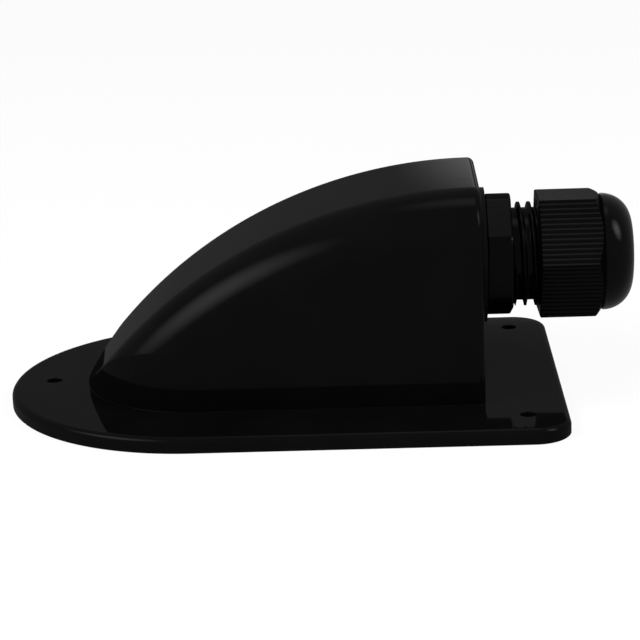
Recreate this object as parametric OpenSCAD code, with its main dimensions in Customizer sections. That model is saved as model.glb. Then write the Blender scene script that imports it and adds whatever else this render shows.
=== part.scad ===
// Solar roof cable entry box: a sloping hood on a screw-down flange, with one cable gland in its back wall.
// Millimetres. X runs from the nose to the gland, Z is up, and Z = 0 is the underside that lies on the roof.

/* [Flange] */
// Length of the flange, nose tip to back edge
flange_length = 115; // [105:1:150]
// Width of the flange; the nose is a half circle of this width
flange_width = 81; // [72:1:110]
// Thickness of the flange
flange_t = 3.2; // [2.6:0.1:6]
// Radius of the two back corners, seen from above
corner_r = 7.5; // [3:0.5:15]
// Rounding of the flange's upper edge
edge_r = 1.3; // [0.4:0.1:1.3]

/* [Screw holes] */
// Diameter of the three screw holes
screw_d = 3.2; // [3:0.1:6]
// Nose hole: distance from the nose tip
nose_hole_in = 8.6; // [6:0.1:11]
// Rear holes: distance from the back edge
rear_hole_in = 8.3; // [6:0.1:11]
// Rear holes: distance from one to the other
rear_hole_gap = 62.2; // [56:0.2:66]

/* [Hood] */
// Width of the hood at the flange
hood_width = 49; // [47:1:55]
// Height of the hood's top above the roof
hood_height = 45.5; // [38:0.1:56]
// Back wall's distance from the flange's back edge
hood_back_gap = 16.25; // [14:0.25:22]
// Hood's nose: distance from the flange's nose tip
hood_nose_gap = 16.2; // [14:0.1:24]
// Height of the hood's nose above the flange
nose_step = 1; // [0.4:0.1:4]
// Rounding along the hood's two long upper edges
hood_round = 10; // [4:0.5:12]
// Rounding of the edge round the hood's back wall
back_round = 1.4; // [0.6:0.1:2.5]
// Wall thickness of the hood
wall = 2.5; // [1.6:0.1:2.6]

/* [Gland] */
// Drop of the gland's axis below the hood's top
gland_drop = 17.5; // [16.8:0.1:20]
// Diameter of the entry thread through the back wall
entry_d = 20; // [18.6:0.2:22]
// Length of the entry thread, from the wall's outside
entry_len = 10; // [9:0.5:14]
// Across flats of the collar
hex_af = 24; // [23.4:0.2:27]
// Thickness of the hexagonal collar
collar_t = 5.3; // [4:0.1:8]
// Turn of the collar's corners about the gland's axis
collar_turn = 24.5; // [0:0.5:60]
// How far the collar's corners are turned down
corner_ease = 0.8; // [0.2:0.05:1]
// Length of the threaded shank past the collar
shank_len = 11; // [10:0.2:14]
// Pitch of the shank's thread
pitch = 2.2; // [1.6:0.1:2.4]
// Depth of the shank's thread
thread_depth = 1.2; // [0.6:0.1:1.2]
// Width of a thread's crest
crest_w = 0.5; // [0.2:0.05:0.7]
// Number of clamping fingers
fingers = 10; // [6:1:14]
// Width of the slots between the fingers
slot_w = 1.2; // [0.6:0.1:1.8]
// Length of the clamping fingers
finger_len = 5.9; // [4:0.1:6.2]
// Diameter of the seal's bore, for the cable
cable_d = 12.4; // [9:0.2:12.6]
// Thickness of the sealing gasket at the wall
gasket_t = 1.35; // [0.8:0.05:3]
// Outer diameter of the sealing gasket
gasket_d = 28; // [26:0.5:32]
// Across flats of the lock nut inside the hood
lock_af = 26; // [24.5:0.5:27]
// Thickness of the lock nut
lock_t = 5; // [3:0.1:6]

/* [Dome nut] */
// Gap between collar and dome nut, as the nut is drawn
nut_gap = 5.5; // [4:0.1:6]
// Turns from there until the nut's cone reaches the fingers
tighten_turns = 1.25; // [0.5:0.05:1.25]
// Length of the nut's ribbed part
nut_len = 13; // [12.9:0.1:16]
// Turn of the nut's corners about the gland's axis
nut_turn = 3; // [0:0.5:60]
// Ribs on each face of the nut
ribs = 13; // [6:1:16]
// How far the ribs stand out past the collar's faces
rib_proud = 0.2; // [0:0.05:0.4]
// Depth of the grooves between the ribs
rib_depth = 0.35; // [0.1:0.05:0.4]
// Length of the chamfer at the nut's outer end
chamfer_len = 1.6; // [0.8:0.1:2.2]
// Length of the smooth dome
dome_len = 6.4; // [6.3:0.1:9]
// Rounding of the dome
dome_round = 6; // [4:0.1:6.2]
// Diameter of the dome's mouth
mouth_d = 13.2; // [12.8:0.1:14]

/* [Fits] */
// Radial clearance round the entry thread: wall, gasket and lock nut
entry_fit = 0.3; // [0.2:0.05:0.6]
// Radial clearance between the shank's crests and the nut
thread_fit = 0.3; // [0.3:0.05:0.4]
// Radial clearance between the seal and the fingers
seal_fit = 0.4; // [0.35:0.05:0.6]
// Gap left wherever a moving face comes closest to a fixed one
stop_fit = 0.4; // [0.35:0.05:0.6]

/* [Hidden] */
$fn = 96;
// Longer than any cut, so that it breaks through
over = 1;

// Flange, seen from above
half_w = flange_width / 2;
back_x = flange_length / 2;
nose_x = half_w - back_x;
corner_x = back_x - corner_r;
corner_y = half_w - corner_r;

// Hood: its slope is one arc that is level near the back wall and ends at the nose, just above the flange
hood_half = hood_width / 2;
seat_x = back_x - hood_back_gap;
hood_nose_x = hood_nose_gap - back_x;
hood_arc_x = hood_nose_x + hood_half;
rise = hood_height - flange_t - nose_step;
level_x = seat_x - back_round;
run = level_x - hood_nose_x;
slope_r = (run * run + rise * rise) / (2 * rise);
slope_z = hood_height - slope_r;

// Gland: height of its axis, and places along X from the wall's outside
gland_z = hood_height - gland_drop;
collar_x = seat_x + gasket_t;
shank_x = collar_x + collar_t;
claw_x = shank_x + shank_len;
tip_x = claw_x + finger_len;
nut_x = shank_x + nut_gap;
travel = tighten_turns * pitch;

// Gland radii, from the outside in
hex_r = hex_af / 2;
corner_hex_r = hex_r / cos(30);
crest_r = hex_r - 1.2;
root_r = crest_r - thread_depth;
claw_r = root_r - 0.5;
claw_in_r = claw_r - 1.1;
seal_r = claw_in_r - seal_fit;
cable_r = cable_d / 2;
body_bore_r = min(cable_r + 0.8, claw_in_r - 0.6);

// Dome nut, along its own axis from its open end
nut_r = hex_r + rib_proud;
nut_corner_r = nut_r / cos(30);
dome_r = nut_r - 0.1;
nut_bore_r = crest_r + thread_fit;
nut_bore_len = shank_len - nut_gap + travel + stop_fit;
cone_r = claw_r + 0.9;
cone_u = tip_x - nut_x + travel - 2.2;
seat_u = nut_len + dome_len - 2.8;
seat_r = seal_r + 0.4;
mouth_r = mouth_d / 2;

// Seal: its head lies in the nut's cone and its sleeve in the fingers
head_u = tip_x - nut_x + travel + stop_fit;
seal_back_u = 3.6;
recess_x = nut_x + seal_back_u - travel - stop_fit;

// Half of a plate's upright section, out to r, with its upper corner rounded
module edge_section(r) {
    square([r, flange_t - edge_r]);
    square([r - edge_r, flange_t]);
    translate([r - edge_r, flange_t - edge_r])
        circle(edge_r);
}

module flange() {
    // half-round nose
    translate([nose_x, 0, 0])
        rotate([0, 0, 90])
            rotate_extrude(angle = 180)
                edge_section(half_w);
    // straight sides
    translate([nose_x, 0, 0])
        rotate([90, 0, 90])
            linear_extrude(corner_x - nose_x) {
                edge_section(half_w);
                mirror([1, 0])
                    edge_section(half_w);
            }
    // back edge
    translate([corner_x, corner_y, 0])
        rotate([90, 0, 0])
            linear_extrude(2 * corner_y)
                edge_section(corner_r);
    // back corners
    translate([corner_x, corner_y, 0])
        rotate_extrude(angle = 90)
            edge_section(corner_r);
    translate([corner_x, -corner_y, 0])
        rotate([0, 0, -90])
            rotate_extrude(angle = 90)
                edge_section(corner_r);
}

// Half section of a disc with a rounded rim
module rim_section(r, half, round) {
    translate([0, -half])
        square([r - round, 2 * half]);
    translate([0, round - half])
        square([r, 2 * (half - round)]);
    for (s = [-1, 1])
        translate([r - round, s * (half - round)])
            circle(round);
}

// The hood's slope, nose and sides as a solid, moved in by inset and ending at the plane X = end
module hood_slope(inset, floor_z, end) {
    half = hood_half - inset;
    intersection() {
        translate([level_x, 0, slope_z])
            rotate([90, 0, 0])
                rotate_extrude()
                    rim_section(slope_r - inset, half, hood_round - inset);
        translate([0, 0, floor_z])
            linear_extrude(hood_height - floor_z + over) {
                translate([hood_arc_x, 0])
                    circle(half);
                translate([hood_arc_x, -half])
                    square([end - hood_arc_x, 2 * half]);
            }
    }
}

// Half section of the back wall's rim, out to r, with a quarter-round edge
module cap_section(r) {
    square([r - back_round, back_round]);
    intersection() {
        translate([r - back_round, 0])
            circle(back_round);
        square([r, back_round]);
    }
}

// The last of the hood: a plate with the hood's section and a quarter-round edge
module hood_cap() {
    y = hood_half - hood_round;
    z = hood_height - hood_round;
    translate([level_x, -y, 0])
        cube([back_round, 2 * y, z]);
    // upper edge
    translate([level_x, -y, z])
        rotate([-90, 0, 0])
            rotate([0, 0, -90])
                linear_extrude(2 * y)
                    cap_section(hood_round);
    // upright edges
    translate([level_x, y, z])
        rotate([180, 0, 90])
            linear_extrude(z)
                cap_section(hood_round);
    translate([level_x, -y, 0])
        rotate([0, 0, -90])
            linear_extrude(z)
                cap_section(hood_round);
    // upper corners
    for (s = [0, 1])
        translate([level_x, s == 0 ? y : -y, z])
            rotate([90, 0, 90])
                rotate([0, 0, 90 * s])
                    rotate_extrude(angle = 90)
                        cap_section(hood_round);
}

module screw_hole(x, y) {
    translate([x, y, -over])
        cylinder(h = flange_t + 2 * over, d = screw_d);
}

// Puts what is drawn along Z on the gland's axis, starting at x
module on_axis(x) {
    translate([x, 0, gland_z])
        rotate([0, 90, 0])
            children();
}

// Hexagonal prism with a corner turned the given angle above the near side
module hexagon(af, h, turn) {
    rotate([0, 0, -90 - turn])
        cylinder(h = h, r = af / 2 / cos(30), $fn = 6);
}

// One-piece moulded shell: flange, hood, open underside, gland hole and screw holes
module housing() {
    color("#1c1c1e")
        difference() {
            union() {
                flange();
                hood_slope(0, 0, level_x);
                hood_cap();
            }
            hood_slope(wall, -over, seat_x - wall);
            on_axis(seat_x - wall - over)
                cylinder(h = wall + 2 * over, r = entry_d / 2 + entry_fit);
            screw_hole(nose_hole_in - back_x, 0);
            screw_hole(back_x - rear_hole_in, rear_hole_gap / 2);
            screw_hole(back_x - rear_hole_in, -rear_hole_gap / 2);
        }
}

// Flat rubber ring between the wall and the collar
module gland_gasket() {
    color("#101010")
        on_axis(seat_x)
            difference() {
                cylinder(h = gasket_t, d = gasket_d);
                translate([0, 0, -over])
                    cylinder(h = gasket_t + 2 * over, r = entry_d / 2 + entry_fit);
            }
}

// Section of the shank with its thread crests drawn as rings
module shank_section() {
    crest = crest_w / 2;
    foot = crest + thread_depth * 0.25;
    translate([0, -over])
        square([root_r, shank_len + over]);
    for (u = [0.7 : pitch : shank_len - 1])
        translate([0, u])
            polygon([[root_r - 0.2, -foot], [root_r, -foot], [crest_r, -crest],
                     [crest_r, crest], [root_r, foot], [root_r - 0.2, foot]]);
}

// Entry thread, collar, threaded shank and clamping fingers in one moulding
module gland_body() {
    color("#222224")
        difference() {
            union() {
                // entry thread with a chamfered end
                on_axis(seat_x - entry_len)
                    rotate_extrude()
                        polygon([[0, 0], [entry_d / 2 - 1, 0], [entry_d / 2, 1],
                                 [entry_d / 2, entry_len + gasket_t + 0.5], [0, entry_len + gasket_t + 0.5]]);
                // collar with its corners eased
                on_axis(collar_x)
                    intersection() {
                        hexagon(hex_af, collar_t, collar_turn);
                        cylinder(h = collar_t, r = corner_hex_r - corner_ease);
                    }
                on_axis(shank_x)
                    rotate_extrude()
                        shank_section();
                // ring of fingers, chamfered at the tip
                on_axis(claw_x - over)
                    rotate_extrude()
                        polygon([[0, 0], [claw_r, 0], [claw_r, finger_len], [claw_r - 0.5, finger_len + over],
                                 [0, finger_len + over]]);
            }
            on_axis(seat_x - entry_len - over)
                cylinder(h = entry_len + gasket_t + collar_t + shank_len, r = body_bore_r);
            // recess for the seal
            on_axis(recess_x)
                cylinder(h = tip_x - recess_x + over, r = claw_in_r);
            // slots between the fingers
            for (i = [0 : fingers - 1])
                on_axis(claw_x + 0.6)
                    rotate([0, 0, 360 / fingers * i])
                        translate([0, -slot_w / 2, 0])
                            cube([claw_r + over, slot_w, finger_len + over]);
        }
}

// Hexagon nut on the entry thread, against the inside of the back wall
module lock_nut() {
    color("#1e1e20")
        on_axis(seat_x - wall - lock_t)
            difference() {
                intersection() {
                    hexagon(lock_af, lock_t, 0);
                    rotate_extrude()
                        polygon([[0, 0], [lock_af / 2 - 0.2, 0], [lock_af / 2 / cos(30), 1.3],
                                 [lock_af / 2 / cos(30), lock_t], [0, lock_t]]);
                }
                translate([0, 0, -over])
                    cylinder(h = lock_t + 2 * over, r = entry_d / 2 + entry_fit);
            }
}

// Rubber bush round the cable: sleeve inside the fingers, tapered head in the nut's cone
module seal_insert() {
    color("#0c0c0c")
        on_axis(nut_x)
            difference() {
                rotate_extrude()
                    polygon([[0, seal_back_u], [seal_r, seal_back_u], [seal_r, head_u],
                             [seal_r + 0.8, head_u], [seal_r, seat_u], [0, seat_u]]);
                cylinder(h = seat_u + over, r = cable_r);
            }
}

// Outline of a nut with fine ribs along its faces: crests on the hexagon, grooves between them
function nut_corner(i) = nut_corner_r * [cos(60 * i), sin(60 * i)];
function face_point(i, t, sunk) =
    nut_corner(i) + t * (nut_corner(i + 1) - nut_corner(i)) - sunk * [cos(60 * i + 30), sin(60 * i + 30)];
rib_outline = [for (i = [0 : 5]) for (k = [0 : 2 * ribs - 1])
    face_point(i, k / (2 * ribs), k % 2 == 0 ? 0 : rib_depth)];

module dome_nut() {
    color("#202022")
        on_axis(nut_x)
            difference() {
                union() {
                    // ribbed hexagon, chamfered at its outer end
                    intersection() {
                        rotate([0, 0, -90 - nut_turn])
                            linear_extrude(nut_len)
                                polygon(rib_outline);
                        rotate_extrude()
                            polygon([[0, 0], [nut_corner_r + over, 0],
                                     [nut_corner_r + over, nut_len - chamfer_len - 0.7],
                                     [dome_r - 0.3, nut_len], [0, nut_len]]);
                    }
                    // smooth dome
                    translate([0, 0, nut_len - over])
                        rotate_extrude() {
                            square([dome_r, dome_len + over - dome_round]);
                            square([dome_r - dome_round, dome_len + over]);
                            intersection() {
                                translate([dome_r - dome_round, dome_len + over - dome_round])
                                    circle(dome_round);
                                square([dome_r, dome_len + over]);
                            }
                        }
                }
                translate([0, 0, -over])
                    cylinder(h = nut_bore_len + over, r = nut_bore_r);
                translate([0, 0, -over])
                    cylinder(h = cone_u + over, r = cone_r);
                translate([0, 0, cone_u])
                    cylinder(h = seat_u - cone_u, r1 = cone_r, r2 = seat_r);
                cylinder(h = nut_len + dome_len + over, r = mouth_r);
            }
}

housing();
gland_gasket();
gland_body();
lock_nut();
seal_insert();
dome_nut();
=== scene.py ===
"""Looks of the solar roof cable entry box: hood and flange, cable gland, materials, light and camera."""

import math

import bmesh
import bpy
import numpy as np
from mathutils import Matrix, Vector
from mathutils.geometry import delaunay_2d_cdt


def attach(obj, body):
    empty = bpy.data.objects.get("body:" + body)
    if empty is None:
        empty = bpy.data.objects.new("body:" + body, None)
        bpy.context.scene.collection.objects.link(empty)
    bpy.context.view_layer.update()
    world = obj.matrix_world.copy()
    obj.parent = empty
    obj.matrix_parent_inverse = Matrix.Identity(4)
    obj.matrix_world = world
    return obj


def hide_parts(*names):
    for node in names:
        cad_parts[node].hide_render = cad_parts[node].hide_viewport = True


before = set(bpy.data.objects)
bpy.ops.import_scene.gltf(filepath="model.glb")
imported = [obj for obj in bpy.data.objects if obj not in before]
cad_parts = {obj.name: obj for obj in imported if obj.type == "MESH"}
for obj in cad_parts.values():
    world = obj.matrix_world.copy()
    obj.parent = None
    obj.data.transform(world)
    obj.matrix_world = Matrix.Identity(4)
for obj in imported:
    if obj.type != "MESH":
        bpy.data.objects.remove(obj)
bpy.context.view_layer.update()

# Shapes are worked out in millimetres, as in the part's source
MM = 0.001

# Flange
FLANGE_T = 3.2
HALF_W = 40.5
BACK_X = 57.5
NOSE_ARC_X = HALF_W - BACK_X
CORNER_R = 7.5
EDGE_R = 1.3
FOOT_EDGE = 0.2
SCREW_R = 1.6
SCREW_EDGE = 0.15
SCREW_HOLES = [(-48.9, 0.0), (49.2, 31.1), (49.2, -31.1)]

# Hood
HOOD_HALF = 24.5
HOOD_TOP = 45.5
HOOD_ROUND = 10.0
BACK_ROUND = 1.4
SEAT_X = 41.25
LEVEL_X = SEAT_X - BACK_ROUND
HOOD_NOSE_X = -41.3
HOOD_ARC_X = HOOD_NOSE_X + HOOD_HALF
NOSE_WALL = 1.0
NOSE_EDGE_R = 0.7
BASE_FILLET = 0.1
FILLET_TOP = FLANGE_T + BASE_FILLET
WALL = 2.5
HOLLOW_X = SEAT_X - WALL

# The hood's slope is turned about a level axis below LEVEL_X
SLOPE_RUN = LEVEL_X - HOOD_NOSE_X
SLOPE_RISE = HOOD_TOP - FLANGE_T - NOSE_WALL
SLOPE_R = (SLOPE_RUN ** 2 + SLOPE_RISE ** 2) / (2 * SLOPE_RISE)
SLOPE_Z = HOOD_TOP - SLOPE_R

# Gland, along X and out from its axis
GLAND_Z = 28.0
HOLE_R = 10.3
BORE_R = 7.0

# Entry thread, through the wall
ENTRY_X = 31.25
ENTRY_R = 10.0
ENTRY_DEPTH = 0.8
ENTRY_ROOT_R = ENTRY_R - ENTRY_DEPTH
ENTRY_CHAMFER = 0.4
ENTRY_PITCH = 1.5
ENTRY_HALF_CREST = 0.15
ENTRY_HALF_FOOT = 0.6
ENTRY_CREST_X = 33.0

# Collar; its edges are points along X from its ends and in from its faces
HEX_R = 12.0
COLLAR_X = 42.6
COLLAR_END = 47.9
COLLAR_TURN = 21.5
COLLAR_CORNER_R = 13.06
COLLAR_WALL_EDGE = [(0.0, 0.5), (0.1, 0.2), (0.35, 0.0)]
COLLAR_OUT_EDGE = [(0.4, 0.0), (0.12, 0.12), (0.0, 0.4)]

# Shank; a crest of its thread crosses the near side at CREST_X, to match the photograph
SHANK_END = 58.9
SHANK_FILLET = 0.2
ROOT_R = 9.6
CREST_R = 10.8
PITCH = 2.2
HALF_CREST = 0.22
HALF_FOOT = 0.5
CREST_X = 50.23
THREAD_FADE = 0.5

# Clamping fingers
CLAW_R = 9.1
CLAW_IN_R = 8.0
RECESS_X = 53.85
TIP_X = 64.8
TIP_TAPER = 1.0
TIP_DROP = 0.5
FINGERS = 10
SLOT_W = 1.2
SLOT_X = 59.5
SLOT_IN_R = 7.5
SLOT_OUT_R = 10.5
SLOT_OVER = 1.0

# Dome nut, along its own axis from its open end; its faces count from 0, from the near side upwards
NUT_X = 53.4
NUT_LEN = 13.0
NUT_R = 12.2
NUT_CORNER_R = NUT_R / math.cos(math.radians(30))
NUT_TURN = 3.0
NUT_EDGE = 0.25
RIBS = 13
RIB_DEPTH = 0.24
RIB_CREST = 0.05
PLAIN_FACE = 1
CHAMFER_U = 10.7
CHAMFER_OVER = 1.0
NECK_LEN = 0.1
NECK_IN = 0.35
DOME_R = 12.1
DOME_FOOT_R = 0.25
DOME_ROUND = 6.0
DOME_LEN = 6.4
MOUTH_R = 6.6
LIP_W = 0.3
LIP_EDGE = [(0.08, 0.1), (0.3, 0.0)]
NUT_BORE_R = 11.1
NUT_BORE_EDGE = 0.3
NUT_BORE_LEN = 8.65
CONE_R = 10.0
CONE_U = 11.95
SEAT_R = 8.0
SEAT_U = 16.6

# Fineness of the meshes
QUARTER = np.radians(np.linspace(0, 90, 11))
STRAIGHT_POINTS = 25
CORNER_POINTS = 25
FLANGE_NOSE_POINTS = 121
FILLET_POINTS = 7
BACK_POINTS = 13
SLOPE_SAMPLES = 700
WALL_SAMPLES = 300
EDGE_SAMPLES = 60
BELOW_FLOOR = 1.0
TURN_SHARE = 0.6
SCREW_SIDES = 48
HOLE_SIDES = 96
GLAND_SIDES = 240
DOME_FOOT_POINTS = 4
DOME_POINTS = 22

# Gaps that are closed, in millimetres in a flat patch and in metres in a finished mesh
FLAT_EPS = 1e-5
WELD = 1e-6
SLIVER = 1e-7

# Steps and turns of a path that count as none, in millimetres and radians
NO_LENGTH = 1e-9
NO_TURN = 1e-6

# Edges that turn by more degrees than this are drawn sharp
HOOD_SHARP = 35.0
GLAND_SHARP = 28.0
NUT_SHARP = 22.0

# Corners of each side of a box that has four at one end and four at the other
BOX_SIDES = ((0, 1, 2, 3), (4, 5, 6, 7), (0, 1, 5, 4), (1, 2, 6, 5), (2, 3, 7, 6), (3, 0, 4, 7))

# Range of a noise that a material's own range is spread over
NOISE_LOW = 0.3
NOISE_HIGH = 0.7

# Stage and lamps: lengths in metres, levels as shares of full white or of an even lamp
FLOOR_R = 3.0
FLOOR_SIDES = 64
FLOOR_GLOW = 0.92
SKY_LEVEL = 0.15
LAMP_AIM = Vector((0.0, 0.0, 0.025))
LAMP_MIDDLE = 2.5


class Skin:
    """Patches of one closed surface, in millimetres, welded where their edges meet."""

    def __init__(self):
        self.verts = []
        self.faces = []

    def grid(self, rows):
        """A patch of rows with as many points each."""
        first = len(self.verts)
        count = len(rows[0])
        for row in rows:
            self.verts.extend(tuple(p) for p in row)
        for i in range(len(rows) - 1):
            for j in range(count - 1):
                a = first + i * count + j
                self.faces.append((a, a + 1, a + count + 1, a + count))

    def flat(self, loops, place):
        """A flat patch inside the first loop and outside the others."""
        points = []
        edges = []
        for loop in loops:
            first = len(points)
            points.extend(Vector((float(u), float(v))) for u, v in loop)
            edges.extend((first + i, first + (i + 1) % len(loop)) for i in range(len(loop)))
        verts, _, faces, *_ = delaunay_2d_cdt(points, edges, [], 0, FLAT_EPS)
        base = len(self.verts)
        self.verts.extend(place(v.x, v.y) for v in verts)
        for face in faces:
            middle = sum((verts[i] for i in face), Vector((0.0, 0.0))) / len(face)
            if inside(middle, loops[0]) and not any(inside(middle, loop) for loop in loops[1:]):
                self.faces.append(tuple(base + i for i in face))

    def piece(self, name, sharp):
        """All patches as one object, in metres, smooth but for its sharp edges."""
        mesh = bpy.data.meshes.new(name)
        mesh.from_pydata([tuple(MM * c for c in v) for v in self.verts], [], self.faces)
        bm = bmesh.new()
        bm.from_mesh(mesh)
        bmesh.ops.remove_doubles(bm, verts=bm.verts, dist=WELD)
        bmesh.ops.dissolve_degenerate(bm, edges=bm.edges, dist=SLIVER)
        bmesh.ops.recalc_face_normals(bm, faces=bm.faces)
        bm.to_mesh(mesh)
        bm.free()
        obj = bpy.data.objects.new(name, mesh)
        bpy.context.scene.collection.objects.link(obj)
        smooth(obj, sharp)
        return obj


def inside(point, loop):
    hit = False
    x, y = point
    for i in range(len(loop)):
        ax, ay = loop[i - 1]
        bx, by = loop[i]
        if (ay > y) != (by > y) and x < (bx - ax) * (y - ay) / (by - ay) + ax:
            hit = not hit
    return hit


def smooth(obj, sharp):
    obj.data.shade_smooth()
    obj.data.set_sharp_from_angle(angle=math.radians(sharp))
    weighted = obj.modifiers.new("flat faces stay flat", "WEIGHTED_NORMAL")
    weighted.mode = "FACE_AREA"
    weighted.weight = 80
    weighted.keep_sharp = True


def arc(centre, r, start, end, count):
    angles = np.radians(np.linspace(start, end, count))
    return [(centre[0] + r * math.cos(a), centre[1] + r * math.sin(a)) for a in angles]


def circle(centre, r, count):
    return arc(centre, r, 0, 360, count + 1)[:-1]


# Housing

def hood_top(x, y, inset):
    """Height of the hood's slope over a point of the plan."""
    r = HOOD_ROUND - inset
    k = np.clip(np.abs(y) - (HOOD_HALF - HOOD_ROUND), 0, r)
    rho = SLOPE_R - HOOD_ROUND + np.sqrt(r * r - k * k)
    return SLOPE_Z + np.sqrt(np.maximum(rho * rho - (x - LEVEL_X) ** 2, 0))


def plan_stations(half, end_x, side_steps, nose_steps):
    """Points round the sides and nose of the hood, with their outward directions."""
    stations = []
    for x in np.linspace(end_x, HOOD_ARC_X, side_steps + 1)[:-1]:
        stations.append(((x, -half), (0.0, -1.0)))
    for b in np.linspace(0, math.pi, nose_steps + 1):
        n = (-math.sin(b), -math.cos(b))
        stations.append(((HOOD_ARC_X + half * n[0], half * n[1]), n))
    for x in np.linspace(HOOD_ARC_X, end_x, side_steps + 1)[1:]:
        stations.append(((x, half), (0.0, 1.0)))
    return stations


def corner_station(side, a):
    """A station on the upright round corner between the back wall and a side."""
    n = (math.sin(a), side * math.cos(a))
    y = side * (HOOD_HALF - BACK_ROUND)
    return (LEVEL_X + BACK_ROUND * n[0], y + BACK_ROUND * n[1]), n


def on_station(station, pairs):
    """Points at a station, from (distance in, height)."""
    (px, py), (nx, ny) = station
    return [(px - d * nx, py - d * ny, z) for d, z in pairs]


def even(points, count):
    """The same path with points spread by length and by turning."""
    p = np.array(points)
    p = p[np.r_[True, np.hypot(*np.diff(p, axis=0).T) > NO_LENGTH]]
    step = np.diff(p, axis=0)
    length = np.hypot(*step.T)
    heading = np.unwrap(np.arctan2(step[:, 1], step[:, 0]))
    turn = np.abs(np.diff(heading, prepend=heading[0]))
    weight = length / length.sum() + TURN_SHARE * turn / max(turn.sum(), NO_TURN)
    at = np.r_[0, np.cumsum(weight)]
    want = np.linspace(0, at[-1], count)
    return np.c_[np.interp(want, at, p[:, 0]), np.interp(want, at, p[:, 1])]


def hood_profile(station, inset, half, edge_r):
    """Path up the wall, over the edge and in to the middle, as (distance in, height)."""
    (px, py), (nx, ny) = station
    d = half * np.linspace(0, 1, SLOPE_SAMPLES) ** 2
    z = hood_top(px - d * nx, py - d * ny, inset)
    touch = 0
    wall_top = z[0]
    if edge_r > 0:
        near = d <= 2 * edge_r
        drop = z[near] - np.sqrt(np.maximum(edge_r ** 2 - (d[near] - edge_r) ** 2, 0))
        touch = int(np.argmin(drop))
        wall_top = drop[touch]
    low = min(0.0, wall_top) - BELOW_FLOOR
    heights = np.r_[np.linspace(low, wall_top, WALL_SAMPLES), np.clip(FILLET_TOP, low, wall_top)]
    path = [(0.0, h) for h in np.unique(heights)]
    if touch > 0:
        end = math.acos(np.clip((edge_r - d[touch]) / edge_r, -1, 1))
        for g in np.linspace(0, end, EDGE_SAMPLES)[1:-1]:
            path.append((edge_r - edge_r * math.cos(g), wall_top + edge_r * math.sin(g)))
    path.extend(zip(d[touch:], z[touch:]))
    return path


def filleted(path):
    """Splits a path where a small fillet leads it out onto the flange: the fillet, then the rest."""
    best = None
    for i, (d, z) in enumerate(path):
        if abs(z - FILLET_TOP) <= BASE_FILLET:
            at = d - math.sqrt(BASE_FILLET ** 2 - (z - FILLET_TOP) ** 2)
            if best is None or at < best[0]:
                best = (at, i)
    at, i = best
    touch = math.degrees(math.atan2(path[i][1] - FILLET_TOP, path[i][0] - at))
    fillet = arc((at, FILLET_TOP), BASE_FILLET, -90, touch, FILLET_POINTS)
    return fillet[:-1], path[i:]


def above_floor(path):
    """The path from where it comes up through the level of the underside."""
    first = next(i for i, (_, z) in enumerate(path) if z > 0)
    (da, za), (db, zb) = path[first - 1], path[first]
    t = -za / (zb - za)
    return [(da + t * (db - da), 0.0)] + path[first:]


def section_normal(y, z):
    """Outward direction of the hood's section just in front of its back wall."""
    side = HOOD_HALF - HOOD_ROUND
    shoulder = HOOD_TOP - HOOD_ROUND
    if abs(y) <= side:
        return 0.0, 1.0
    if z <= shoulder:
        return math.copysign(1.0, y), 0.0
    ny, nz = abs(y) - side, z - shoulder
    size = math.hypot(ny, nz)
    return math.copysign(ny / size, y), nz / size


def between(start, end):
    """Places along a straight edge, without its ends."""
    return np.linspace(start, end, STRAIGHT_POINTS)[1:-1]


def flange_outline(inset):
    """The flange's outline seen from above, moved in."""
    r = HALF_W - inset
    c = CORNER_R - inset
    cx, cy = BACK_X - CORNER_R, HALF_W - CORNER_R
    loop = arc((NOSE_ARC_X, 0), r, 90, 270, FLANGE_NOSE_POINTS)
    loop += [(x, -r) for x in between(NOSE_ARC_X, cx)]
    loop += arc((cx, -cy), c, -90, 0, CORNER_POINTS)
    loop += [(BACK_X - inset, y) for y in between(-cy, cy)]
    loop += arc((cx, cy), c, 0, 90, CORNER_POINTS)
    loop += [(x, r) for x in between(cx, NOSE_ARC_X)]
    return loop


def add_hood(skin):
    """The hood's outside. Gives the line round its foot on the flange."""

    # slope, sides and nose
    slope = []
    foot = []
    for station in plan_stations(HOOD_HALF, LEVEL_X, side_steps=60, nose_steps=96):
        fillet, rest = filleted(hood_profile(station, 0.0, HOOD_HALF, NOSE_EDGE_R))
        slope.append(on_station(station, even(rest, count=84)))
        foot.append(on_station(station, fillet) + slope[-1][:1])
    skin.grid(slope)

    # quarter-round edge of the back wall
    section = slope[0] + slope[-1][-2::-1]
    rim = []
    for a in QUARTER:
        inset = BACK_ROUND * (1 - math.cos(a))
        row = []
        for _, y, z in section:
            ny, nz = section_normal(y, z)
            row.append((LEVEL_X + BACK_ROUND * math.sin(a), y - inset * ny, z - inset * nz))
        rim.append(row)
    skin.grid(rim)

    # fillet along the flange, on round the back
    corner_y = HOOD_HALF - BACK_ROUND
    across = np.linspace(corner_y, -corner_y, BACK_POINTS)
    behind = [corner_station(1, a) for a in QUARTER[1:]]
    behind += [((SEAT_X, y), (1.0, 0.0)) for y in across[1:]]
    behind += [corner_station(-1, a) for a in QUARTER[-2::-1]]
    fillet = arc((-BASE_FILLET, FILLET_TOP), BASE_FILLET, -90, 0, FILLET_POINTS)
    foot += [on_station(station, fillet) for station in behind]
    skin.grid(foot)

    # back wall
    edge = [(y, z) for _, y, z in rim[-1]]
    edge += [(y, FILLET_TOP) for y in across[1:-1]]
    skin.flat([edge, circle((0, GLAND_Z), HOLE_R, HOLE_SIDES)], lambda y, z: (SEAT_X, y, z))
    return [row[0][:2] for row in foot[:-1]]


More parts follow.
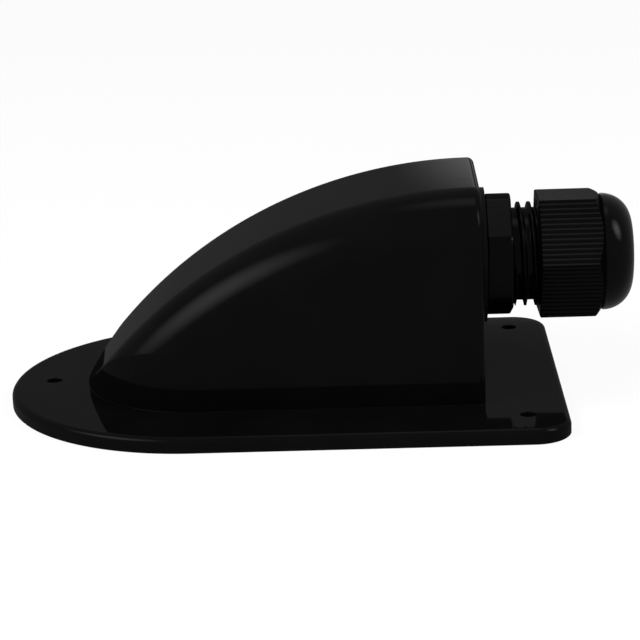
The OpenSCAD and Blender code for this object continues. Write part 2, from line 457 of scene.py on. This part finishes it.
def add_flange(skin, foot):
    """Top of the flange, round the hood's foot and the screw holes, and its edge."""
    mouths = [circle(c, SCREW_R + SCREW_EDGE, SCREW_SIDES) for c in SCREW_HOLES]
    skin.flat([flange_outline(EDGE_R), foot] + mouths, lambda x, y: (x, y, FLANGE_T))
    levels = [(EDGE_R * (1 - math.sin(a)), FLANGE_T - EDGE_R + EDGE_R * math.cos(a)) for a in QUARTER]
    levels += [(0.0, FOOT_EDGE), (FOOT_EDGE, 0.0)]
    rows = [[(x, y, z) for x, y in flange_outline(inset)] for inset, z in levels]
    skin.grid([row + row[:1] for row in rows])


def add_hollow(skin):
    """The hood's inside. Gives the line round its opening in the underside."""
    half = HOOD_HALF - WALL
    rows = []
    for station in plan_stations(half, HOLLOW_X, side_steps=30, nose_steps=48):
        path = above_floor(hood_profile(station, WALL, half, 0.0))
        rows.append(on_station(station, even(path, count=40)))
    skin.grid(rows)
    bay = [(y, z) for _, y, z in rows[0] + rows[-1][-2::-1]]
    skin.flat([bay, circle((0, GLAND_Z), HOLE_R, HOLE_SIDES)], lambda y, z: (HOLLOW_X, y, z))
    return [row[0][:2] for row in rows]


def make_housing():
    skin = Skin()
    foot = add_hood(skin)
    add_flange(skin, foot)
    opening = add_hollow(skin)

    # underside
    bottoms = [circle(c, SCREW_R, SCREW_SIDES) for c in SCREW_HOLES]
    skin.flat([flange_outline(FOOT_EDGE), opening] + bottoms, lambda x, y: (x, y, 0.0))

    # walls of the holes
    for centre in SCREW_HOLES:
        rows = []
        for r, z in ((SCREW_R + SCREW_EDGE, FLANGE_T), (SCREW_R, FLANGE_T - SCREW_EDGE), (SCREW_R, 0.0)):
            ring = circle(centre, r, SCREW_SIDES)
            rows.append([(x, y, z) for x, y in ring + ring[:1]])
        skin.grid(rows)
    ring = circle((0, GLAND_Z), HOLE_R, HOLE_SIDES)
    skin.grid([[(x, y, z) for y, z in ring + ring[:1]] for x in (HOLLOW_X, SEAT_X)])

    return skin.piece("moulded_hood", HOOD_SHARP)


# Gland: angles run from the near side upwards, seen from the gland's end

def about_axis(x, r, phi):
    return x, -r * math.cos(phi), GLAND_Z + r * math.sin(phi)


def ring_rows(pairs, angles):
    """Turned rows; each radius is a number or a function of the angle."""
    rows = []
    for x, r in pairs:
        rows.append([about_axis(x, r(phi) if callable(r) else r, phi) for phi in angles])
    return rows


def thread_rows(x0, x1, root, crest, pitch, half_crest, half_foot, crest_x, angles):
    """A right-hand thread between two plain ends, its rows running along the helix."""
    offsets = [-half_foot, -half_crest, -half_crest / 3, half_crest / 3, half_crest, half_foot]
    gap = pitch - 2 * half_foot
    offsets += [half_foot + gap * t for t in (0.25, 0.5, 0.75)]
    first = math.floor((x0 - crest_x) / pitch) - 1
    last = math.ceil((x1 + pitch - crest_x) / pitch) + 1
    places = sorted((crest_x + k * pitch + o, o) for k in range(first, last) for o in offsets)
    places = [(x0, half_foot)] + [p for p in places if x0 < p[0] < x1 + pitch] + [(x1 + pitch, half_foot)]
    rows = []
    for v, o in places:
        high = np.clip((half_foot - abs(o)) / (half_foot - half_crest), 0, 1)
        row = []
        for phi in angles:
            x = min(max(v - pitch * (phi - angles[0]) / (2 * math.pi), x0), x1)
            fade = min(1.0, (x - x0) / THREAD_FADE) * min(1.0, (x1 - x) / THREAD_FADE)
            row.append(about_axis(x, root + (crest - root) * high * fade, phi))
        rows.append(row)
    return rows


def collar_r(inset):
    """Distance from the axis to the collar's faces and turned-off corners, moved in."""
    def r(phi):
        off = (math.degrees(phi) - COLLAR_TURN) % 60 - 30
        return min(HEX_R / math.cos(math.radians(off)), COLLAR_CORNER_R) - inset
    return r


def make_slot_cutter():
    """Boxes that fill the slots between the fingers."""
    cutter = Skin()
    half = SLOT_W / 2
    for i in range(FINGERS):
        a = 2 * math.pi * i / FINGERS
        out = (-math.cos(a), math.sin(a))
        side = (math.sin(a), math.cos(a))
        first = len(cutter.verts)
        for x in (SLOT_X, TIP_X + SLOT_OVER):
            for r, w in ((SLOT_IN_R, -half), (SLOT_OUT_R, -half), (SLOT_OUT_R, half), (SLOT_IN_R, half)):
                y = out[0] * r + side[0] * w
                z = out[1] * r + side[1] * w
                cutter.verts.append((x, y, GLAND_Z + z))
        for corners in BOX_SIDES:
            cutter.faces.append(tuple(first + c for c in corners))
    return cutter.piece("slot_cutter", GLAND_SHARP)


def cut_away(body, tool):
    """Takes the tool's shape out of the body's mesh, and removes the tool."""
    # smoothing comes again after the cut
    body.modifiers.clear()
    cut = body.modifiers.new("slots", "BOOLEAN")
    cut.operation = "DIFFERENCE"
    cut.solver = "EXACT"
    cut.object = tool
    bpy.context.view_layer.update()
    shown = body.evaluated_get(bpy.context.evaluated_depsgraph_get())
    mesh = bpy.data.meshes.new_from_object(shown)
    old = body.data
    body.modifiers.clear()
    body.data = mesh
    bpy.data.meshes.remove(old)
    bpy.data.objects.remove(tool)


def make_gland_body():
    skin = Skin()
    start = math.radians(COLLAR_TURN)
    angles = [start + 2 * math.pi * k / GLAND_SIDES for k in range(GLAND_SIDES + 1)]

    # entry thread
    thread_x = ENTRY_X + ENTRY_CHAMFER
    mouth = [(ENTRY_X, BORE_R), (ENTRY_X, ENTRY_ROOT_R - ENTRY_CHAMFER), (thread_x, ENTRY_ROOT_R)]
    skin.grid(ring_rows(mouth, angles))
    skin.grid(thread_rows(thread_x, SEAT_X, ENTRY_ROOT_R, ENTRY_R, ENTRY_PITCH,
                          ENTRY_HALF_CREST, ENTRY_HALF_FOOT, ENTRY_CREST_X, angles))

    # collar
    collar = [(SEAT_X, ENTRY_ROOT_R), (COLLAR_X, ENTRY_ROOT_R)]
    collar += [(COLLAR_X + along, collar_r(inset)) for along, inset in COLLAR_WALL_EDGE]
    collar += [(COLLAR_END - along, collar_r(inset)) for along, inset in COLLAR_OUT_EDGE]
    collar += [(COLLAR_END, ROOT_R + SHANK_FILLET), (COLLAR_END + SHANK_FILLET, ROOT_R)]
    skin.grid(ring_rows(collar, angles))

    # shank, whose rows start at the collar's turn
    first_crest_x = CREST_X - PITCH * start / (2 * math.pi)
    skin.grid(thread_rows(COLLAR_END + SHANK_FILLET, SHANK_END, ROOT_R, CREST_R, PITCH,
                          HALF_CREST, HALF_FOOT, first_crest_x, angles))

    # fingers and bore
    tail = [(SHANK_END, ROOT_R), (SHANK_END, CLAW_R)]
    tail += [(TIP_X - TIP_TAPER, CLAW_R), (TIP_X, CLAW_R - TIP_DROP), (TIP_X, CLAW_IN_R)]
    tail += [(RECESS_X, CLAW_IN_R), (RECESS_X, BORE_R), (ENTRY_X, BORE_R)]
    skin.grid(ring_rows(tail, angles))

    body = skin.piece("gland_threaded_body", GLAND_SHARP)
    cut_away(body, make_slot_cutter())
    smooth(body, GLAND_SHARP)
    return body


def unit(degrees):
    return np.array([math.cos(math.radians(degrees)), math.sin(math.radians(degrees))])


def nut_columns():
    """Places round the nut's ribbed faces, as (distance from the axis, angle)."""
    columns = []
    for i in range(6):
        a = unit(60 * i) * NUT_CORNER_R
        b = unit(60 * i + 60) * NUT_CORNER_R
        n = unit(60 * i + 30)
        for k in range(RIBS):
            for part, depth in ((0.0, 0.0), (RIB_CREST, 0.0), (0.5, RIB_DEPTH), (1 - RIB_CREST, 0.0)):
                sunk = 0.0 if i == PLAIN_FACE else depth
                p = a + (k + part) / RIBS * (b - a) - sunk * n
                columns.append((math.hypot(*p), math.atan2(p[1], p[0]) + math.radians(NUT_TURN)))
    return columns + columns[:1]


def make_dome_nut():
    columns = nut_columns()
    rows = []

    def row(pairs):
        rows.append([about_axis(NUT_X + u, r, phi) for (u, r), (_, phi) in zip(pairs, columns)])

    def plain(u, r):
        row([(u, r)] * len(columns))

    # open end, and ribbed faces up to the chamfer
    neck_r = DOME_R - NECK_IN
    chamfer_r = NUT_CORNER_R + CHAMFER_OVER
    fall = (chamfer_r - neck_r) / (NUT_LEN - CHAMFER_U)
    plain(0.0, NUT_BORE_R + NUT_BORE_EDGE)
    row([(0.0, r - NUT_EDGE) for r, _ in columns])
    row([(NUT_EDGE, r) for r, _ in columns])
    meet = [CHAMFER_U + (chamfer_r - r) / fall for r, _ in columns]
    for t in (0.25, 0.5, 0.75, 1.0):
        row([(NUT_EDGE + t * (m - NUT_EDGE), r) for m, (r, _) in zip(meet, columns)])

    # neck and dome
    plain(NUT_LEN, neck_r)
    plain(NUT_LEN + NECK_LEN, neck_r)
    foot = (NUT_LEN + NECK_LEN + DOME_FOOT_R, DOME_R - DOME_FOOT_R)
    for u, r in arc(foot, DOME_FOOT_R, 180, 90, DOME_FOOT_POINTS):
        plain(u, r)
    start_u = NUT_LEN + DOME_LEN - DOME_ROUND
    lip = math.acos((MOUTH_R + LIP_W - DOME_R + DOME_ROUND) / DOME_ROUND)
    for a in np.linspace(0, lip, DOME_POINTS):
        plain(start_u + DOME_ROUND * math.sin(a), DOME_R - DOME_ROUND + DOME_ROUND * math.cos(a))

    # mouth, seat of the seal, cone and bore
    tip_u = start_u + DOME_ROUND * math.sin(lip)
    for back, out in LIP_EDGE:
        plain(tip_u - back, MOUTH_R + out)
    for u, r in ((SEAT_U, MOUTH_R), (SEAT_U, SEAT_R), (CONE_U, CONE_R), (NUT_BORE_LEN, CONE_R)):
        plain(u, r)
    plain(NUT_BORE_LEN, NUT_BORE_R)
    plain(NUT_BORE_EDGE, NUT_BORE_R)
    plain(0.0, NUT_BORE_R + NUT_BORE_EDGE)

    skin = Skin()
    skin.grid(rows)
    return skin.piece("ribbed_dome_nut", NUT_SHARP)


# Materials

def new_material(name):
    mat = bpy.data.materials.new(name)
    mat.use_nodes = True
    nodes = mat.node_tree.nodes
    shader = next(n for n in nodes if n.type == "BSDF_PRINCIPLED")
    return mat, nodes, mat.node_tree.links, shader


def noise(nodes, links, coords, scale, detail, rough):
    tex = nodes.new("ShaderNodeTexNoise")
    tex.inputs["Scale"].default_value = scale
    tex.inputs["Detail"].default_value = detail
    tex.inputs["Roughness"].default_value = rough
    links.new(coords.outputs["Object"], tex.inputs["Vector"])
    return tex.outputs["Fac"]


def spread(nodes, links, source, low, high):
    """Maps a noise to the range low to high."""
    m = nodes.new("ShaderNodeMapRange")
    m.inputs["From Min"].default_value = NOISE_LOW
    m.inputs["From Max"].default_value = NOISE_HIGH
    m.inputs["To Min"].default_value = low
    m.inputs["To Max"].default_value = high
    links.new(source, m.inputs["Value"])
    return m.outputs["Result"]


def tint(nodes, links, source, dark, light):
    """Maps a noise to the colours from dark to light."""
    ramp = nodes.new("ShaderNodeValToRGB")
    ramp.color_ramp.elements[0].position = NOISE_LOW
    ramp.color_ramp.elements[1].position = NOISE_HIGH
    ramp.color_ramp.elements[0].color = (*dark, 1)
    ramp.color_ramp.elements[1].color = (*light, 1)
    links.new(source, ramp.inputs["Fac"])
    return ramp.outputs["Color"]


def bump(nodes, links, shader, source, height):
    """Relief from a noise, its height in metres."""
    b = nodes.new("ShaderNodeBump")
    b.inputs["Strength"].default_value = 1.0
    b.inputs["Distance"].default_value = height
    links.new(source, b.inputs["Height"])
    links.new(b.outputs["Normal"], shader.inputs["Normal"])
    links.new(b.outputs["Normal"], shader.inputs["Coat Normal"])


def coat(shader, weight, roughness, ior):
    """A thin coat makes all of the shine, so that black stays dark in white surroundings."""
    shader.inputs["Specular IOR Level"].default_value = 0.0
    shader.inputs["Coat Weight"].default_value = weight
    shader.inputs["Coat Roughness"].default_value = roughness
    shader.inputs["Coat IOR"].default_value = ior


def gloss_plastic():
    """Moulded black plastic with a polished skin and a faint ripple."""
    mat, nodes, links, shader = new_material("gloss_black_moulding")
    coords = nodes.new("ShaderNodeTexCoord")
    ripple = noise(nodes, links, coords, scale=260, detail=2, rough=0.4)
    haze = noise(nodes, links, coords, scale=55, detail=4, rough=0.55)
    colour = tint(nodes, links, haze, dark=(0.0018, 0.0018, 0.0019), light=(0.0027, 0.0027, 0.0028))
    links.new(colour, shader.inputs["Base Color"])
    links.new(spread(nodes, links, haze, low=0.30, high=0.40), shader.inputs["Roughness"])
    coat(shader, weight=0.047, roughness=0.05, ior=1.5)
    bump(nodes, links, shader, ripple, height=0.000004)
    return mat


def satin_nylon(name, shine, shine_ior, dullness):
    """Moulded black nylon with a fine satin grain."""
    mat, nodes, links, shader = new_material(name)
    coords = nodes.new("ShaderNodeTexCoord")
    grain = noise(nodes, links, coords, scale=2600, detail=3, rough=0.6)
    haze = noise(nodes, links, coords, scale=140, detail=3, rough=0.5)
    colour = tint(nodes, links, haze, dark=(0.0009, 0.0009, 0.0010), light=(0.0015, 0.0015, 0.0016))
    links.new(colour, shader.inputs["Base Color"])
    links.new(spread(nodes, links, haze, low=0.32, high=0.44), shader.inputs["Roughness"])
    coat(shader, weight=shine, roughness=dullness, ior=shine_ior)
    bump(nodes, links, shader, grain, height=0.000006)
    return mat


def dull_rubber():
    """Dense black rubber with a matt, slightly dusty face."""
    mat, nodes, links, shader = new_material("matt_black_rubber")
    coords = nodes.new("ShaderNodeTexCoord")
    grain = noise(nodes, links, coords, scale=1800, detail=4, rough=0.65)
    dust = noise(nodes, links, coords, scale=220, detail=4, rough=0.6)
    colour = tint(nodes, links, dust, dark=(0.004, 0.004, 0.004), light=(0.007, 0.007, 0.007))
    links.new(colour, shader.inputs["Base Color"])
    links.new(spread(nodes, links, dust, low=0.62, high=0.78), shader.inputs["Roughness"])
    shader.inputs["Specular IOR Level"].default_value = 0.03
    bump(nodes, links, shader, grain, height=0.00001)
    return mat


def polish_dome(nut, mat):
    """Gives the dome, from its foot on, a finish of its own."""
    nut.data.materials.append(mat)
    for face in nut.data.polygons:
        smooth_end = face.center.x > MM * (NUT_X + NUT_LEN + NECK_LEN)
        face.material_index = 1 if smooth_end else 0


# Stage, light and camera

def white_seen(nodes, links, plain, white, output):
    """Shows the white to the camera, directly or in a mirror or glass, and the plain one elsewhere."""
    path = nodes.new("ShaderNodeLightPath")
    seen = path.outputs["Is Camera Ray"]
    for ray in ("Is Glossy Ray", "Is Transmission Ray"):
        either = nodes.new("ShaderNodeMath")
        either.operation = "MAXIMUM"
        links.new(seen, either.inputs[0])
        links.new(path.outputs[ray], either.inputs[1])
        seen = either.outputs[0]
    mix = nodes.new("ShaderNodeMixShader")
    links.new(seen, mix.inputs[0])
    links.new(plain.outputs[0], mix.inputs[1])
    links.new(white.outputs[0], mix.inputs[2])
    links.new(mix.outputs[0], output.inputs["Surface"])


def make_floor():
    """A sheet of white paper that keeps some of the object's shadow."""
    mesh = bpy.data.meshes.new("floor")
    rim = [(x, y, 0.0) for x, y in circle((0, 0), FLOOR_R, FLOOR_SIDES)]
    mesh.from_pydata(rim, [], [tuple(range(FLOOR_SIDES))])
    floor = bpy.data.objects.new("floor", mesh)
    bpy.context.scene.collection.objects.link(floor)
    mat, nodes, links, shader = new_material("white_paper")
    shader.inputs["Base Color"].default_value = (0.9, 0.9, 0.9, 1)
    shader.inputs["Roughness"].default_value = 1.0
    shader.inputs["Specular IOR Level"].default_value = 0.0
    glow = nodes.new("ShaderNodeEmission")
    glow.inputs["Strength"].default_value = 1.0
    part = nodes.new("ShaderNodeMixShader")
    part.inputs[0].default_value = FLOOR_GLOW
    links.new(shader.outputs[0], part.inputs[1])
    links.new(glow.outputs[0], part.inputs[2])
    output = next(n for n in nodes if n.type == "OUTPUT_MATERIAL")
    white_seen(nodes, links, shader, part, output)
    mesh.materials.append(mat)


def make_world():
    """Surroundings that look white, in reflections too, and give only a little light."""
    world = bpy.data.worlds.new("studio")
    bpy.context.scene.world = world
    world.use_nodes = True
    nodes = world.node_tree.nodes
    plain = next(n for n in nodes if n.type == "BACKGROUND")
    plain.inputs["Color"].default_value = (1, 1, 1, 1)
    plain.inputs["Strength"].default_value = SKY_LEVEL
    white = nodes.new("ShaderNodeBackground")
    white.inputs["Color"].default_value = (1, 1, 1, 1)
    white.inputs["Strength"].default_value = 1.0
    output = next(n for n in nodes if n.type == "OUTPUT_WORLD")
    white_seen(nodes, world.node_tree.links, plain, white, output)


def add_softbox(name, direction, along, distance, length, width, watts):
    """A lamp that is brightest in its middle and fades out to its rim."""
    light = bpy.data.lights.new(name, "AREA")
    light.shape = "RECTANGLE"
    light.size = length
    light.size_y = width
    light.energy = watts
    light.use_nodes = True
    nodes = light.node_tree.nodes
    links = light.node_tree.links
    glow = next(n for n in nodes if n.type == "EMISSION")
    place = nodes.new("ShaderNodeNewGeometry")
    away = nodes.new("ShaderNodeVectorMath")
    away.operation = "DISTANCE"
    away.inputs[1].default_value = (0.5, 0.5, 0.0)
    links.new(place.outputs["Parametric"], away.inputs[0])
    fade = nodes.new("ShaderNodeMapRange")
    fade.interpolation_type = "SMOOTHSTEP"
    fade.inputs["From Min"].default_value = 0.0
    fade.inputs["From Max"].default_value = 0.5
    fade.inputs["To Min"].default_value = LAMP_MIDDLE
    fade.inputs["To Max"].default_value = 0.0
    links.new(away.outputs["Value"], fade.inputs["Value"])
    links.new(fade.outputs["Result"], glow.inputs["Strength"])
    lamp = bpy.data.objects.new(name, light)
    out = Vector(direction).normalized()
    side = Vector(along)
    side = (side - side.dot(out) * out).normalized()
    turn = Matrix((side, out.cross(side), out)).transposed()
    lamp.matrix_world = Matrix.Translation(LAMP_AIM + distance * out) @ turn.to_4x4()
    bpy.context.scene.collection.objects.link(lamp)


def make_camera():
    """The camera that was fitted to the flange's outline in the photograph."""
    aim = Vector((0.007872, 0.0, 0.014853))
    distance = 0.448297
    elevation = math.radians(15.763)
    azimuth = math.radians(1.901)
    roll = math.radians(-2.118)
    back = Vector((math.sin(azimuth) * math.cos(elevation), -math.cos(azimuth) * math.cos(elevation),
                   math.sin(elevation)))
    right = (-back).cross(Vector((0, 0, 1))).normalized()
    up = right.cross(-back)
    across = math.cos(roll) * right + math.sin(roll) * up
    upward = -math.sin(roll) * right + math.cos(roll) * up
    turn = Matrix((across, upward, back)).transposed()
    cam = bpy.data.cameras.new("camera")
    cam.sensor_fit = "HORIZONTAL"
    cam.sensor_width = 36.0
    cam.lens = 120.104
    cam.clip_start = 0.01
    obj = bpy.data.objects.new("camera", cam)
    obj.matrix_world = Matrix.Translation(aim + distance * back) @ turn.to_4x4()
    bpy.context.scene.collection.objects.link(obj)
    bpy.context.scene.camera = obj


gloss = gloss_plastic()
nylon = satin_nylon("satin_black_nylon", shine=0.032, shine_ior=1.8, dullness=0.16)
polished = satin_nylon("polished_black_nylon", shine=0.25, shine_ior=1.25, dullness=0.07)
rubber = dull_rubber()

for make, node, body, slot, mat in (
    (make_housing, "housing", "box", "housing_plastic", gloss),
    (make_gland_body, "gland_body", "box", "gland_plastic", nylon),
    (make_dome_nut, "dome_nut", "dome_nut", "gland_plastic", nylon),
):
    piece = make()
    piece.data.materials.clear()
    piece.data.materials.append(mat)
    if node == "dome_nut":
        polish_dome(piece, polished)
    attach(piece, body)
    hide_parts(node)

for node, mat in (("gland_gasket", rubber), ("lock_nut", nylon), ("seal_insert", rubber)):
    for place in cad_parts[node].material_slots:
        place.material = mat

make_floor()
make_world()
add_softbox("key", direction=(-0.66, -0.36, 0.65), along=(0.57, 0.32, 0.75),
            distance=0.9, length=0.74, width=1.2, watts=14.0)
add_softbox("end", direction=(0.71, -0.28, 0.64), along=(-0.59, 0.24, 0.77),
            distance=0.8, length=0.68, width=0.48, watts=6.6)
add_softbox("top", direction=(0.08, 0.16, 0.98), along=(1.0, 0.0, 0.0),
            distance=1.0, length=0.66, width=0.7, watts=2.0)
add_softbox("back", direction=(0.115, 1.2, 0.24), along=(1.0, -0.1, 0.0),
            distance=1.23, length=0.36, width=0.15, watts=0.42)
add_softbox("low", direction=(0.25, 1.2, 0.055), along=(1.0, -0.2, 0.0),
            distance=1.23, length=0.34, width=0.12, watts=0.26)
make_camera()

bpy.context.scene.view_settings.view_transform = "Standard"
